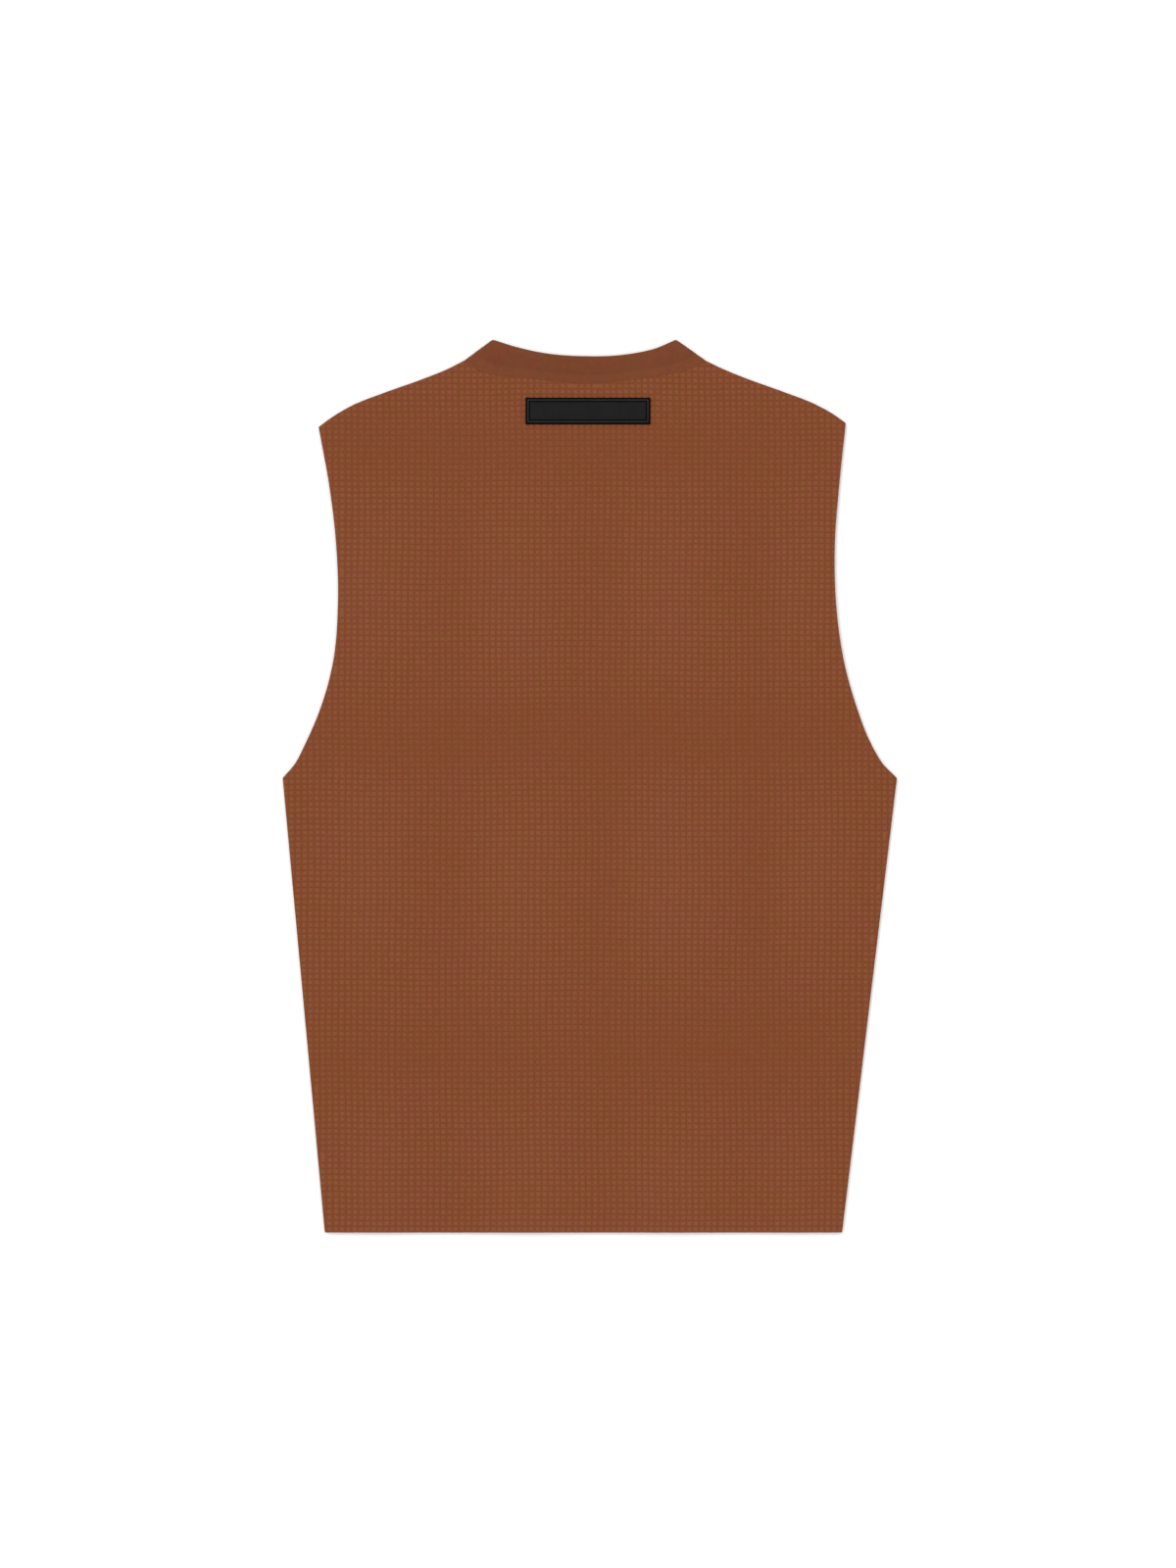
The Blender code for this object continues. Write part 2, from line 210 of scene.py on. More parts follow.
# How uneven the knitting is: spreads of the random draws, in millimetres on the
# pattern and as shares of a puff's rise for heights
GROOVE_SHIFT = 0.06
GROOVE_RISE = 0.05
GROOVE_LIMIT = 0.12
EVEN_EDGE = 6.0  # the grooves run evenly this near to the edge
PUFF_SHIFT = 0.09
PUFF_CORNER_SHIFT = 0.07
PUFF_RISE_SPREAD = 0.10
PUFF_TILT = 0.05
LOWEST_PUFF = 0.65
WANDER_REACH = 14.0  # rows and columns wander fully this far in
WANDER_CLEAR = 0.05  # and not at all nearer than this share of it

# The soft waves in which columns and rows wander: each one's size, its length
# across and up, and where it starts as a share of a turn
COLUMN_WAVES = table(
    "size across up start",
    (0.45, math.inf, 290.0, 0.15),
    (0.25, 260.0, 97.0, 0.00),
)
ROW_WAVES = table(
    "size across up start",
    (0.40, 240.0, math.inf, 0.30),
    (0.25, 85.0, -310.0, 0.00),
)

# Rows of points over a panel's edge, from its outer to its inner face: how
# far in from the outline, how far out from the inner face and how much painted light
# its plain knit gets, from the grooves' painted shade at 0 to the puffs' painted light
# at 1, each at a side or shoulder seam, at an open edge and at the neck, and the
# share of the waffle's relief that carries over the edge. At a seam the inner edge
# reaches towards the other panel, and at the neck the edge is square to meet the band.
SEAM_EDGE, OPEN_EDGE, NECK_EDGE = range(3)
EDGE_PAINTED_LIGHT = (0.0, 0.0, 1.0)
EDGE_ROWS = table(
    "insets depths relief",
    ((1.80, 0.90, 0.36), (1.80, 1.80, 1.80), 1.00),
    ((1.05, 0.42, 0.14), (1.66, 1.68, 1.78), 0.80),
    ((0.50, 0.10, 0.03), (1.32, 1.32, 1.70), 0.45),
    ((0.13, 0.00, 0.00), (0.85, 0.90, 1.40), 0.15),
    ((0.00, 0.10, 0.00), (0.30, 0.48, 0.45), 0.00),
    ((0.14, 0.42, 0.12), (-0.10, 0.12, 0.08), 0.00),
    ((1.70, 0.90, 0.60), (0.00, 0.00, 0.00), 0.00),
)

# ---- the neckband

# Its section, as a closed loop: how far from its free edge, as a share of its
# width, and how far out from its inner face, as a share of the wall. The dip at two
# thirds is the line of its inner fold.
BAND_LOOP = table(
    "share depth",
    (0.000, 0.50),
    (0.004, 0.70),
    (0.014, 0.87),
    (0.030, 0.96),
    (0.052, 0.99),
    (0.200, 1.00),
    (0.420, 1.00),
    (0.600, 1.00),
    (0.632, 0.985),
    (0.650, 0.95),
    (0.664, 0.92),
    (0.680, 0.93),
    (0.702, 0.94),
    (0.800, 0.94),
    (0.920, 0.92),
    (0.976, 0.91),
    (0.994, 0.90),
    (0.9993, 0.86),
    (1.000, 0.60),
    (0.996, 0.18),
    (0.985, 0.05),
    (0.965, 0.00),
    (0.650, 0.00),
    (0.330, 0.00),
    (0.052, 0.00),
    (0.030, 0.03),
    (0.012, 0.14),
    (0.003, 0.30),
)
BAND_WIDTH = 21.6
BAND_STATIONS = 72  # sections along each half of the neckband
FOLD_TURNS = 12  # sections round each fold
FOLD_REACH = MIDDLE  # outer radius of a fold
FOLD_SEARCH = 2000  # steps in which a fold's first section is found
FOLD_CLEAR = 0.6  # gap between that section and the next
BAND_GAP = 0.04  # what is left between the sewn edges of band and panel
BAND_WALE = 1.30  # size of the neckband's fine knit stitches
BAND_COURSE = 0.95

# ---- the label patch

LABEL_WIDTH = 101.9
LABEL_HEIGHT = 21.7
LABEL_THICK = 1.2
LABEL_ACROSS = -1.5
LABEL_UP = 670.6
LABEL_RIM = table(
    "inset height",
    (0.00, 0.45),
    (0.08, 0.72),
    (0.28, 0.92),
    (0.60, 1.00),
    (1.60, 1.00),
    (2.45, 1.00),
    (2.70, 0.92),
    (2.90, 0.70),
    (3.20, 0.60),
    (3.50, 0.70),
    (3.72, 0.88),
    (4.00, 0.93),
)
LABEL_STEP = 2.4
STITCH_INSET = 3.2
STITCH_PITCH = 2.7
STITCH_LENGTH = 2.15
STITCH_THICK = 0.42
STITCH_LIFT = 0.4  # how high its middle line lies, as a share of its thickness
STITCH_DIP = 0.4  # times the square of a point's share along the stitch
STITCH_SHIFT = 0.03  # spread of the stitches' places
STITCH_SIDES = 8

# ---- colours and light

REDDISH = (0.2087, 0.0631, 0.0267)
OLIVE = (0.2035, 0.0655, 0.0243)
LIGHT_ADDS = (0.62, 1.13, 1.72)  # painted light makes raised cloth paler, not only lighter
WARMTH = (0.0, 0.0, 0.05)
HUE_PATCH = 6.5  # sizes of the waffle's patches of colour
YARN_FLECK = 1.6
WARM_PATCH = 45.0
BAND_REDDISH = (0.1616, 0.0447, 0.0197)
BAND_OLIVE = (0.1522, 0.0482, 0.0175)
LABEL_FIELD = (0.0121, 0.0121, 0.0126)
LABEL_RIM_HIGHLIGHT = (0.0220, 0.0226, 0.0232)
LABEL_GROOVE_SHADE = (0.0042, 0.0042, 0.0044)
LABEL_PAINTED_SHADE = (0.0008,) * 3
THREAD = (0.0062, 0.0062, 0.0065)
PLY = 0.35  # a turn of the thread's plies
FLOOR_WHITE = (0.965,) * 3
FLOOR_SIZE = 12.0  # floor and softbox are in metres
WORLD_STRENGTH = 0.96
SOFTBOX_WATTS = 1450.0
SOFTBOX_PLACE = (-7.8, 9.3, 15.6)
SOFTBOX_SIZE = (15.6, 11.4)

NOISE_RANGE = (0.3, 0.7)  # nearly all of a noise lies between these
KNIT_LEAN = 1.3  # how steeply the legs of a plain knit stitch lean
KNIT_ALONG = 0.32  # how much of its height changes along a leg
KNIT_ACROSS = 0.75  # and how much across one

# How much lighter or darker the waffle is painted, as shares: painted shade in its grooves and
# painted light on its puffs, painted shade where it is pressed and painted light where it stands off,
# random tone for its yarn, and painted shade between its stitches and painted light on them
GROOVE_PAINTED_SHADE = -0.207
PUFF_PAINTED_LIGHT = 0.112
PRESSED_PAINTED_RELIEF = -0.58  # how much less of the waffle's painted shade and light shows in a full trough
PRESSED_PAINTED_SHADE = -0.100
SWELL_PAINTED_LIGHT = 0.048
YARN_TONE = 0.05
STITCH_PAINTED_SHADE_AND_LIGHT = (-0.06, 0.04)

# The neckband's painted light at its free edge and painted shade towards its fold, and the
# painted highlights added on the strip past the fold and at its sewn edge
BAND_FOLD_SHADE = (1.03, 0.965)
BAND_STRIP_HIGHLIGHT = 0.075
BAND_SEAM_HIGHLIGHT = 0.09

# The photograph: its height in pixels, what a pixel stands for, and the middle of
# its frame in the frame's own axes
PHOTO_HEIGHT = 1600
PIXEL = 0.8
VIEW_ACROSS = -1.44
VIEW_UP = 1.61
LENS = 100
SENSOR = 36


# ---- outlines


def smooth_curve(points, count):
    """Points, count + 1 of them, along the smooth curve through the given ones."""
    points = np.array(points, float)
    spans = np.hypot(*np.diff(points, axis=0).T)
    slopes = np.diff(points, axis=0) / spans[:, None]
    tangents = np.empty_like(points)
    tangents[0], tangents[-1] = slopes[0], slopes[-1]
    before, after = spans[:-1, None], spans[1:, None]
    tangents[1:-1] = (slopes[:-1] * after + slopes[1:] * before) / (before + after)
    knots = np.concatenate([[0], np.cumsum(spans)])
    travel = np.linspace(0, knots[-1], count + 1)
    i = np.clip(np.searchsorted(knots, travel, side="right") - 1, 0, len(spans) - 1)
    h = spans[i][:, None]
    s = ((travel - knots[i]) / spans[i])[:, None]
    return (
        points[i] * (2 * s**3 - 3 * s**2 + 1)
        + tangents[i] * h * (s**3 - 2 * s**2 + s)
        + points[i + 1] * (3 * s**2 - 2 * s**3)
        + tangents[i + 1] * h * (s**3 - s**2)
    )


def even_curve(points, step):
    """The smooth curve through the points, with a point every step or so."""
    whole = np.hypot(*np.diff(np.array(points, float), axis=0).T).sum()
    return smooth_curve(points, max(2, round(whole / step)))


def armhole(side, tip_up):
    rise = tip_up - UNDERARM_UP
    return [(getattr(row, side), UNDERARM_UP + row.rise * rise) for row in ARMHOLE]


def shoulder(side, seam_across, tip_across):
    reach = tip_across - seam_across
    return [(seam_across + row.out * reach, LENGTH - getattr(row, side + "_drop")) for row in SHOULDER]


def neck_edge(neck):
    return [(row.edge_across, LENGTH - row.edge_drop) for row in neck]


def neck_seam(neck):
    return [(row.seam_across, LENGTH - row.seam_drop) for row in neck]


def panel_outline(neck):
    """Points round a panel, counter-clockwise, and each one's share of every kind of edge."""
    step = OUTLINE_STEP
    hem_left, hem_right = (HEM_LEFT, 0.0), (HEM_RIGHT, 0.0)
    arm_left, arm_right = (ARMHOLE[0].left, UNDERARM_UP), (ARMHOLE[0].right, UNDERARM_UP)
    runs = (
        (even_curve([hem_left, hem_right], step), OPEN_EDGE),
        (even_curve([hem_right, arm_right], step), SEAM_EDGE),
        (even_curve(armhole("right", TIP_UP_RIGHT), step), OPEN_EDGE),
        (even_curve(shoulder("right", neck[-1].seam_across, ARMHOLE[-1].right), step)[::-1], SEAM_EDGE),
        (even_curve(neck_seam(neck), step)[::-1], NECK_EDGE),
        (even_curve(shoulder("left", neck[0].seam_across, ARMHOLE[-1].left), step), SEAM_EDGE),
        (even_curve(armhole("left", TIP_UP_LEFT), step)[::-1], OPEN_EDGE),
        (even_curve([arm_left, hem_left], step), SEAM_EDGE),
    )
    points = np.concatenate([run[:-1] for run, _ in runs])
    kinds = np.concatenate([np.full(len(run) - 1, kind) for run, kind in runs])
    shares = np.eye(3)[kinds]
    for _ in range(OUTLINE_BLENDS):
        shares = (np.roll(shares, 1, axis=0) + 2 * shares + np.roll(shares, -1, axis=0)) / 4
    return points, shares


def inward(points):
    """The way in from a counter-clockwise outline, longer at its corners."""
    before = points - np.roll(points, 1, axis=0)
    after = np.roll(points, -1, axis=0) - points
    before /= np.hypot(*before.T)[:, None]
    after /= np.hypot(*after.T)[:, None]
    normal = np.stack([-before[:, 1] - after[:, 1], before[:, 0] + after[:, 0]], axis=1)
    normal /= np.hypot(*normal.T)[:, None]
    straight = normal[:, 1] * before[:, 0] - normal[:, 0] * before[:, 1]
    return normal / np.clip(straight, SHARPEST, 1.0)[:, None]


def distance_in(points, outline):
    """How far each point lies inside a closed outline; outside it is less than 0."""
    start, end = outline, np.roll(outline, -1, axis=0)
    way = end - start
    length = (way**2).sum(axis=1)
    result = np.empty(len(points))
    for first in range(0, len(points), BLOCK):
        block = points[first : first + BLOCK]
        away = block[:, None, :] - start[None]
        share = np.clip((away * way).sum(axis=2) / length, 0, 1)
        gap = np.hypot(*(away - share[..., None] * way).transpose(2, 0, 1)).min(axis=1)
        x, y = block[:, 0, None], block[:, 1, None]
        spans = (start[:, 1] > y) != (end[:, 1] > y)
        rise = np.where(way[:, 1] == 0, 1.0, way[:, 1])
        crossing = start[:, 0] + (y - start[:, 1]) / rise * way[:, 0]
        inside = (spans & (x < crossing)).sum(axis=1) % 2 == 1
        result[first : first + BLOCK] = np.where(inside, gap, -gap)
    return result


# ---- heights


def soft_sum(points, marks):
    """The sum of soft round marks at each point."""
    total = np.zeros(len(points))
    for mark in marks:
        x = (points[:, 0] - mark.across) / mark.half_across
        y = (points[:, 1] - mark.up) / mark.half_up
        total += mark.size * np.exp(-x * x - y * y)
    return total


def pressed(points, layer):
    """How far the cloth is pressed down in its troughs, from 0 to 1."""
    troughs = BACK_TROUGHS if layer == BACK else FRONT_TROUGHS
    return np.tanh(soft_sum(points, troughs))


def height(points, layer, depth):
    """Height above the floor at a depth out from a layer's inner face."""
    press = pressed(points, layer)
    wall = depth * (1 - TROUGH_THINS * press / WALL)
    level = MIDDLE + layer * (SEAM_GAP / 2 + wall)
    if layer == BACK:
        level = level + soft_sum(points, SWELLS) * (1 - TROUGH_FLATTENS * press)
    return level


# ---- meshes


class Shell:
    """The points and faces of one closed shell, gathered part by part."""

    def __init__(self):
        self.flat = []
        self.level = []
        self.marks = []
        self.faces = []
        self.count = 0

    def add(self, flat, level, mark):
        """Add points with their heights and a number for the material; return their indices."""
        self.flat.append(np.asarray(flat, float))
        self.level.append(np.zeros(len(flat)) + level)
        self.marks.append(np.zeros(len(flat)) + mark)
        self.count += len(flat)
        return np.arange(self.count - len(flat), self.count)

    def ring(self, first, second):
        """Join two equal closed loops of points with quads."""
        self.faces += np.stack([first, np.roll(first, -1), np.roll(second, -1), second], axis=1).tolist()

    def build(self, name, mark_name):
        flat = np.concatenate(self.flat)
        points = np.stack([flat[:, 0], flat[:, 1] - LENGTH / 2, np.concatenate(self.level)], axis=1) * MM
        mesh = bpy.data.meshes.new(name)
        mesh.from_pydata(points.tolist(), [], self.faces)
        builder = bmesh.new()
        builder.from_mesh(mesh)
        bmesh.ops.recalc_face_normals(builder, faces=builder.faces)
        builder.to_mesh(mesh)
        builder.free()
        mesh.shade_smooth()
        obj = bpy.data.objects.new(name, mesh)
        bpy.context.scene.collection.objects.link(obj)
        point_numbers(obj, mark_name, np.concatenate(self.marks))
        return obj


def point_numbers(obj, name, values):
    """Store a number at each point of a mesh, for its material."""
    layer = obj.data.attributes.new(name, "FLOAT", "POINT")
    layer.data.foreach_set("value", np.asarray(values).astype(np.float32))


def fill_between(points, edges, wanted):
    """Triangles over flat points, in the areas between the given edges that are wanted.

    Each area is judged at the middle of its largest triangle.
    """
    corners = [Vector(point) for point in points]
    _, _, faces, sources, _, _ = geometry.delaunay_2d_cdt(corners, edges, [], 0, SAME_PLACE, True)
    faces = np.array([[sources[corner][0] for corner in face] for face in faces])
    borders = {tuple(sorted(edge)) for edge in edges}
    beside = {}
    for k, face in enumerate(faces.tolist()):
        for side in zip(face, face[1:] + face[:1]):
            beside.setdefault(tuple(sorted(side)), []).append(k)
    links = [[] for _ in faces]
    for side, pair in beside.items():
        if side not in borders and len(pair) == 2:
            links[pair[0]].append(pair[1])
            links[pair[1]].append(pair[0])
    a, b, c = points[faces].transpose(1, 2, 0)
    sizes = np.abs((b[0] - a[0]) * (c[1] - a[1]) - (b[1] - a[1]) * (c[0] - a[0]))
    keep = np.zeros(len(faces), bool)
    seen = np.zeros(len(faces), bool)
    for first in range(len(faces)):
        if seen[first]:
            continue
        seen[first] = True
        area = [first]
        for face in area:
            fresh = [other for other in links[face] if not seen[other]]
            seen[fresh] = True
            area += dict.fromkeys(fresh)
        largest = area[np.argmax(sizes[area])]
        middle = points[faces[largest]].mean(axis=0)
        keep[area] = sizes[largest] > NO_AREA and wanted(middle[None])[0]
    return faces[keep]


def closed_edges(indices):
    return list(zip(indices, indices[1:] + indices[:1]))


class Lattice:
    """The waffle's cells over one panel: which are whole, and which the edge cuts."""

    def __init__(self, loop):
        low, high = loop.min(axis=0), loop.max(axis=0)
        first_x = math.floor((low[0] - FIRST_GROOVE_ACROSS) / CELL_ACROSS) - 1
        first_y = math.floor((low[1] - FIRST_GROOVE_UP) / CELL_UP) - 1
        self.columns = math.ceil((high[0] - low[0]) / CELL_ACROSS) + 3
        self.rows = math.ceil((high[1] - low[1]) / CELL_UP) + 3
        self.xs = FIRST_GROOVE_ACROSS + (first_x + np.arange(self.columns + 1)) * CELL_ACROSS
        self.ys = FIRST_GROOVE_UP + (first_y + np.arange(self.rows + 1)) * CELL_UP
        self.corner = np.stack(np.meshgrid(self.xs, self.ys), axis=-1).reshape(-1, 2)
        self.inside = distance_in(self.corner, loop)
        j, i = np.meshgrid(np.arange(self.rows), np.arange(self.columns), indexing="ij")
        a = (j * (self.columns + 1) + i).ravel()
        self.cell = np.stack([a, a + 1, a + self.columns + 2, a + self.columns + 1], axis=1)
        self.whole = (self.inside[self.cell] > CLEAR_OF_EDGE).all(axis=1)
        self.cut = ~self.whole & (self.inside[self.cell] > -CELL_ACROSS).any(axis=1)

    def corner_at(self, column, row):
        return row * (self.columns + 1) + column

    def tops(self, cells):
        """The four corners of each cell's puff top."""
        middle = self.corner[cells].mean(axis=1, keepdims=True)
        shrink = 1 - np.array([2 * SLOPE_ACROSS / CELL_ACROSS, 2 * SLOPE_UP / CELL_UP])
        return middle + (self.corner[cells] - middle) * shrink

    def in_whole_cell(self, points):
        column = np.floor((points[:, 0] - self.xs[0]) / CELL_ACROSS).astype(int)
        row = np.floor((points[:, 1] - self.ys[0]) / CELL_UP).astype(int)
        return self.whole[row * self.columns + column]


def cell_relief(points):
    """Share of a puff's rise at any point of the waffle: 0 in the grooves, 1 on a top."""
    x = np.mod(points[:, 0] - FIRST_GROOVE_ACROSS, CELL_ACROSS)
    y = np.mod(points[:, 1] - FIRST_GROOVE_UP, CELL_UP)
    x = np.minimum(x, CELL_ACROSS - x) / SLOPE_ACROSS
    y = np.minimum(y, CELL_UP - y) / SLOPE_UP
    return np.clip(np.minimum(x, y), 0, 1)


def waves(points, rows):
    """The sum of soft waves at each point."""
    x, y = points.T
    turns = [x / row.across + y / row.up + row.start for row in rows]
    return sum(row.size * np.sin(2 * math.pi * turn) for row, turn in zip(rows, turns))


def wander(points, loop):
    """Rows and columns of stitches that run a little unevenly, but not at the edge."""
    share = np.clip(distance_in(points, loop) / WANDER_REACH - WANDER_CLEAR, 0, 1)
    moves = [waves(points, COLUMN_WAVES), waves(points, ROW_WAVES)]
    return points + np.stack(moves, axis=1) * share[:, None]


def puff_rise(points, layer, relief):
    """How far a panel's outer face stands off its wall, lower where it is pressed."""
    proud = BACK_PROUD if layer == BACK else FRONT_PROUD
    return proud + PUFF_RISE * (1 - PRESSED_RELIEF * pressed(points, layer)) * (relief - 1)


def outer_level(points, layer, relief):
    """Height of a panel's outer face, with its puffs."""
    return height(points, layer, WALL) + layer * puff_rise(points, layer, relief)


def edge_rings(neck):
    """Loops of points over a panel's edge, as columns: across, up, depth and share of painted light."""
    outline, shares = panel_outline(neck)
    way_in = inward(outline)
    rings = []
    for row in EDGE_ROWS:
        flat = outline + way_in * (shares @ row.insets)[:, None]
        rings.append(np.column_stack([flat, shares @ row.depths, shares @ EDGE_PAINTED_LIGHT]))
    return rings


def groove_ends(loop, lattice):
    """Where the grooves run out over a loop.

    Each place is a distance along the loop, in points, with the corner it comes from.
    """
    following = np.roll(loop, -1, axis=0)
    ends = {}
    for axis, lines, steps in ((0, lattice.xs, lattice.ys), (1, lattice.ys, lattice.xs)):
        start, end = loop[:, axis], following[:, axis]
        for place, line in enumerate(lines):
            for k in np.flatnonzero((start > line) != (end > line)):
                share = (line - start[k]) / (end[k] - start[k])
                other = loop[k, 1 - axis] + share * (following[k, 1 - axis] - loop[k, 1 - axis])
                below = np.searchsorted(steps, other) - 1
                column, row = (place, below) if axis == 0 else (below, place)
                first = lattice.corner_at(column, row)
                second = lattice.corner_at(column + axis, row + 1 - axis)
                ends[k + share] = first if lattice.inside[first] > lattice.inside[second] else second
    return ends


def with_groove_ends(rings, places):
    """The rings with a point at each place along them, and no other point close by."""
    count = len(rings[0])
    kept = [k for k in range(count) if all(abs(k - place) > END_CLEAR for place in places)]
    order = np.array(sorted(kept + list(places)))
    first = order.astype(int) % count
    share = (order - order.astype(int))[:, None]
    return [ring[first] + (ring[(first + 1) % count] - ring[first]) * share for ring in rings], order


def add_corners(shell, lattice, loop, layer):
    """The corners of the cells, in the grooves; returns each one's index, or -1."""
    near = np.zeros(len(lattice.corner), bool)
    near[lattice.cell[lattice.whole | lattice.cut].ravel()] = True
    near &= lattice.inside > CORNER_CLEAR
    flat = wander(lattice.corner[near], loop)
    flat = flat + RANDOM.normal(0, GROOVE_SHIFT, flat.shape) * (lattice.inside[near] > EVEN_EDGE)[:, None]
    low = np.clip(RANDOM.normal(0, GROOVE_RISE, len(flat)), -GROOVE_LIMIT, GROOVE_LIMIT)
    index = np.full(len(lattice.corner), -1)
    index[near] = shell.add(flat, outer_level(flat, layer, low), 0.0)
    return index


def add_whole_cells(shell, lattice, index, loop, layer):
    """The puffs of the whole cells, each with its own height."""
    cells = lattice.cell[lattice.whole]
    flat = wander(lattice.tops(cells).reshape(-1, 2), loop).reshape(-1, 4, 2)
    flat = flat + RANDOM.normal(0, PUFF_SHIFT, (len(cells), 1, 2))
    flat = (flat + RANDOM.normal(0, PUFF_CORNER_SHIFT, flat.shape)).reshape(-1, 2)
    rise = RANDOM.normal(1.0, PUFF_RISE_SPREAD, (len(cells), 1))
    rise = rise + RANDOM.normal(0, PUFF_TILT, (len(cells), 4))
    rise = np.clip(rise, LOWEST_PUFF, TALLEST_PUFF).ravel()
    top = shell.add(flat, outer_level(flat, layer, rise), rise).reshape(-1, 4)
    corners = index[cells]
    shell.faces += top.tolist()
    for k in range(4):
        m = (k + 1) % 4
        shell.faces += np.stack([corners[:, k], corners[:, m], top[:, m], top[:, k]], axis=1).tolist()


def add_cut_cells(shell, lattice, index, loop, spokes, layer):
    """What the edge leaves of the other cells, up to the loop; returns the loop's indices."""
    relief = cell_relief(loop)
    rim = shell.add(loop, outer_level(loop, layer, relief), relief)
    flat = lattice.tops(lattice.cell[lattice.cut]).reshape(-1, 2)
    flat = flat[distance_in(flat, loop) > CLEAR_OF_EDGE / 2]
    moved = wander(flat, loop)
    top = shell.add(moved, outer_level(moved, layer, 1.0), 1.0)
    at_cut = np.zeros(len(lattice.corner), bool)
    at_cut[lattice.cell[lattice.cut].ravel()] = True
    at_cut &= index >= 0
    loose = np.concatenate([index[at_cut], rim, top])
    flat = np.concatenate([lattice.corner[at_cut], loop, flat])
    local = np.full(len(lattice.corner), -1)
    local[at_cut] = np.arange(at_cut.sum())
    edges = closed_edges(list(range(at_cut.sum(), at_cut.sum() + len(rim))))
    for step in (1, lattice.columns + 1):
        first, second = local[:-step], local[step:]
        both = (first >= 0) & (second >= 0)
        edges += np.stack([first[both], second[both]], axis=1).tolist()
    for place, corner in spokes:
        if local[corner] >= 0:
            edges.append([local[corner].item(), at_cut.sum().item() + place])

    def wanted(points):
        return (distance_in(points, loop) > 0) & ~lattice.in_whole_cell(points)

    shell.faces += loose[fill_between(flat, edges, wanted)].tolist()
    return rim


def add_inner_face(shell, inner_loop, inner_ring, layer):
    """The plain inner face."""
    low, high = inner_loop.min(axis=0), inner_loop.max(axis=0)
    columns = np.arange(low[0], high[0], INNER_STEP)
    rows = np.arange(low[1], high[1], INNER_STEP)
    flat = np.stack(np.meshgrid(columns, rows), axis=-1).reshape(-1, 2)
    flat = flat[distance_in(flat, inner_loop) > INNER_STEP / 3]
    inside = shell.add(flat, height(flat, layer, 0.0), INNER_PAINTED_LIGHT)
    edges = closed_edges(list(range(len(inner_loop))))

    def wanted(points):
        return distance_in(points, inner_loop) > 0

    filled = fill_between(np.concatenate([inner_loop, flat]), edges, wanted)
    shell.faces += np.concatenate([inner_ring, inside])[filled].tolist()


def waffle_panel(name, neck, layer):
    """A panel of waffle knit: rows of puffs, cut off at the outline, over a plain inner face."""
    rings = edge_rings(neck)
    lattice = Lattice(rings[0][:, :2])
    ends = groove_ends(rings[0][:, :2], lattice)
    rings, order = with_groove_ends(rings, ends)
    spokes = [(place, ends[at]) for place, at in enumerate(order.tolist()) if at in ends]
    loop = rings[0][:, :2]
    shell = Shell()
    index = add_corners(shell, lattice, loop, layer)
    add_whole_cells(shell, lattice, index, loop, layer)
    previous = add_cut_cells(shell, lattice, index, loop, spokes, layer)
    relief = cell_relief(loop)
    over_edge = layer * puff_rise(loop, layer, relief)
    for row, ring in zip(EDGE_ROWS[1:], rings[1:]):
        flat, depth, tone = ring[:, :2], ring[:, 2], ring[:, 3]
        level = height(flat, layer, depth) + over_edge * row.relief
        # the edge's painted light blends into the waffle's painted shade and light as its relief carries
        # over
        added = shell.add(flat, level, tone + (relief - tone) * row.relief)
        shell.ring(previous, added)
        previous = added
    add_inner_face(shell, rings[-1][:, :2], previous, layer)
    panel = shell.build(name, "puff")
    flat = np.concatenate(shell.flat)
    press = pressed(flat, layer)
    # The material paints shade where the cloth is pressed and light where it stands off
    point_numbers(panel, "pressed", press)
    point_numbers(panel, "stands_off", soft_sum(flat, SWELLS) / USUAL_SWELL * (1 - press))
    return panel


# ---- the neckband


def beside_seam(edge, seam):
    """The band's sewn edge, which almost meets the panel."""
    way = edge - seam
    return seam + way / np.linalg.norm(way, axis=-1, keepdims=True) * BAND_GAP


def off_crease(points, start, crease):
    """How far points lie from the line of a crease, measured square to it."""
    direction = (crease[1] - crease[0]) / np.linalg.norm(crease[1] - crease[0])
    return np.abs((points - start) @ np.array([-direction[1], direction[0]]))


def fold_station(crease, neck, from_right):
    """The last flat section before a fold: as far in from its crease as the fold is thick."""
    found = []
    for points, start in zip((neck_edge(neck), neck_seam(neck)), crease):
        curve = smooth_curve(points, FOLD_SEARCH)
        if from_right:
            curve = curve[::-1]
        found.append(curve[np.argmax(off_crease(curve, start, crease) >= FOLD_REACH)])
    return np.array([found[0], beside_seam(found[0], found[1])])


def spotted(points, spots):
    """The sum of soft round spots at each point."""
    total = np.zeros(len(points))
    for spot in spots:
        away = np.hypot(points[:, 0] - spot.across, points[:, 1] - spot.up) / spot.radius
        total += spot.strength * np.exp(-away * away)
    return total


def band_columns():
    """The shares and the depths of the neckband's section."""
    share, depth = np.array(BAND_LOOP).T
    return share, depth * WALL


def flat_section(station, layer):
    """The neckband's section where it lies in one layer, as pattern points and heights."""
    share, depth = band_columns()
    flat = station[0] + (station[1] - station[0]) * share[:, None]
    if layer == BACK:
        depth = depth - spotted(flat, BAND_DIMPLES) * (depth / WALL)
    return flat, height(flat, layer, depth)


def fold_section(crease, back, front, turn):
    """The neckband's section at a turn round its fold, 90 on the back and -90 on the front."""
    beside = back if turn > 0 else front
    share, depth = (column[:, None] for column in band_columns())
    radius = SEAM_GAP / 2 + depth
    on_crease = crease[0] + (crease[1] - crease[0]) * share
    on_flat = beside[0] + (beside[1] - beside[0]) * share
    start = on_crease + (on_flat - on_crease) * (1 - radius / FOLD_REACH)
    flat = start + (on_flat - start) * (1 - math.cos(math.radians(turn)))
    return flat, MIDDLE + radius[:, 0] * math.sin(math.radians(turn))


